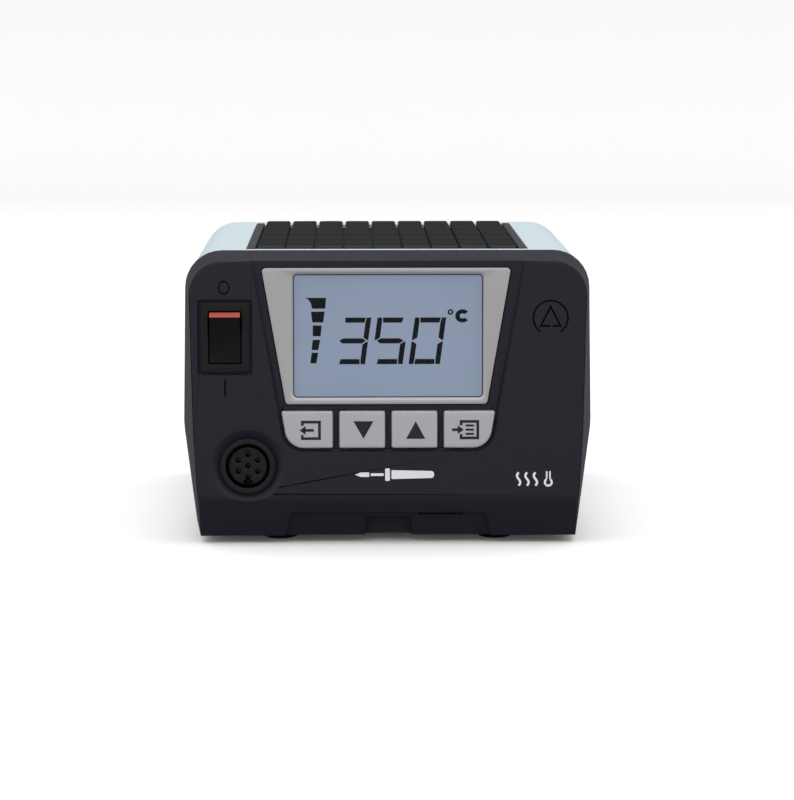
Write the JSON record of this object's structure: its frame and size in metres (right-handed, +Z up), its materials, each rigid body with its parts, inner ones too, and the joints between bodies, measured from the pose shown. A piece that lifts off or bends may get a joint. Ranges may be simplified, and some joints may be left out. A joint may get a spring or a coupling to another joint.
{
  "type": "soldering iron station",
  "caption": "Bench soldering station: leaning front with display, keys, rocker switch and round tool socket; painted cover with a rubber mat on top; mains inlet at the back.",
  "frame": {"origin": "middle of the footprint, on the bench the feet stand on", "axes": "+X to the right of a person facing the panel, +Y from the panel to the back, +Z up"},
  "size_m": [0.138, 0.1489, 0.098],
  "materials": {
    "bezel_plastic": "fine-grained black moulding with a violet cast",
    "cover_paint": "pale blue powder coat, satin",
    "tray_plastic": "textured black moulding",
    "back_paint": "dark grey powder coat",
    "rubber": "black rubber",
    "mat_rubber": "dark grey silicone rubber, matt",
    "trim_silver": "silver-grey satin moulding",
    "window_clear": "clear acrylic",
    "lcd": "pale blue backlit liquid crystal with dark segments",
    "diffuser": "white light guide",
    "key_plastic": "light grey keys with printed symbols",
    "black_plastic": "black nylon",
    "board_green": "green solder mask",
    "zinc": "zinc-plated steel",
    "rocker_plastic": "black polished rocker",
    "marker_red": "red marker strip",
    "brass": "tinned brass",
    "gold": "gold-plated contacts",
    "nickel": "nickel plating",
    "fuse_glass": "glass tubes with nickel caps",
    "winding": "varnished polyester tape over copper",
    "aluminium": "extruded aluminium",
    "capacitor": "sleeved aluminium cans",
    "connector": "natural nylon headers",
    "lead_brown": "brown insulation",
    "lead_blue": "blue insulation",
    "lead_black": "black insulation",
    "lead_green": "green and yellow insulation",
    "lead_yellow": "yellow insulation",
    "ribbon": "grey flat cable"
  },
  "bodies": {
    "housing": {"front_bezel": "bezel_plastic", "top_cover": "cover_paint", "base_tray": "tray_plastic", "rear_panel": "back_paint", "rubber_feet": "rubber", "mat_pad": "mat_rubber", "display_trim": "trim_silver", "display_window": "window_clear", "lcd_panel": "lcd", "lcd_backlight": "diffuser", "key_switches": "black_plastic", "display_board": "board_green", "display_board_screws": "zinc", "display_chips": "black_plastic", "switch_housing": "black_plastic", "switch_terminals": "brass", "socket_shell": "black_plastic", "socket_carrier": "black_plastic", "socket_contacts": "gold", "socket_nut": "nickel", "mains_inlet": "black_plastic", "inlet_pins": "brass", "inlet_screws": "zinc", "bonding_socket": "nickel", "bonding_nut": "nickel", "bezel_screws": "zinc", "rear_screws": "zinc", "toroid_winding": "winding", "toroid_pads": "rubber", "toroid_plate": "zinc", "toroid_bolt": "zinc", "toroid_nut": "zinc", "board_bracket": "aluminium", "bracket_screws": "zinc", "main_board": "board_green", "board_standoffs": "brass", "board_screws": "zinc", "filter_capacitors": "capacitor", "heat_sink": "aluminium", "power_triacs": "black_plastic", "board_connectors": "connector", "main_chips": "black_plastic", "live_lead": "lead_brown", "neutral_lead": "lead_blue", "switched_leads": "lead_black", "earth_lead": "lead_green", "transformer_leads": "lead_yellow", "tool_leads": "lead_black", "ribbon_cable": "ribbon", "earth_stud": "brass"},
    "rocker": {"power_rocker": "rocker_plastic", "rocker_marker": "marker_red"},
    "exit_button": {"exit_key": "key_plastic"},
    "down_button": {"down_key": "key_plastic"},
    "up_button": {"up_key": "key_plastic"},
    "menu_button": {"menu_key": "key_plastic"},
    "drawer": {"fuse_drawer": "black_plastic", "fuses": "fuse_glass"}
  },
  "joints": [
    {"name": "rocker_tilt", "type": "hinge", "parent": "housing", "child": "rocker", "pos_m": [-0.0542, -0.06585, 0.06895], "axis": [-1, 0, 0], "range_deg": [0, 16]},
    {"name": "exit_press", "type": "slide", "parent": "housing", "child": "exit_button", "axis": [0, 0.9962, -0.0872], "range_m": [0, 0.0006], "stiffness_N_per_m": 300, "springref_m": -0.001},
    {"name": "down_press", "type": "slide", "parent": "housing", "child": "down_button", "axis": [0, 0.9962, -0.0872], "range_m": [0, 0.0006], "stiffness_N_per_m": 300, "springref_m": -0.001},
    {"name": "up_press", "type": "slide", "parent": "housing", "child": "up_button", "axis": [0, 0.9962, -0.0872], "range_m": [0, 0.0006], "stiffness_N_per_m": 300, "springref_m": -0.001},
    {"name": "menu_press", "type": "slide", "parent": "housing", "child": "menu_button", "axis": [0, 0.9962, -0.0872], "range_m": [0, 0.0006], "stiffness_N_per_m": 300, "springref_m": -0.001},
    {"name": "drawer_slide", "type": "slide", "parent": "housing", "child": "drawer", "axis": [0, 1, 0], "range_m": [0, 0.016]}
  ]
}
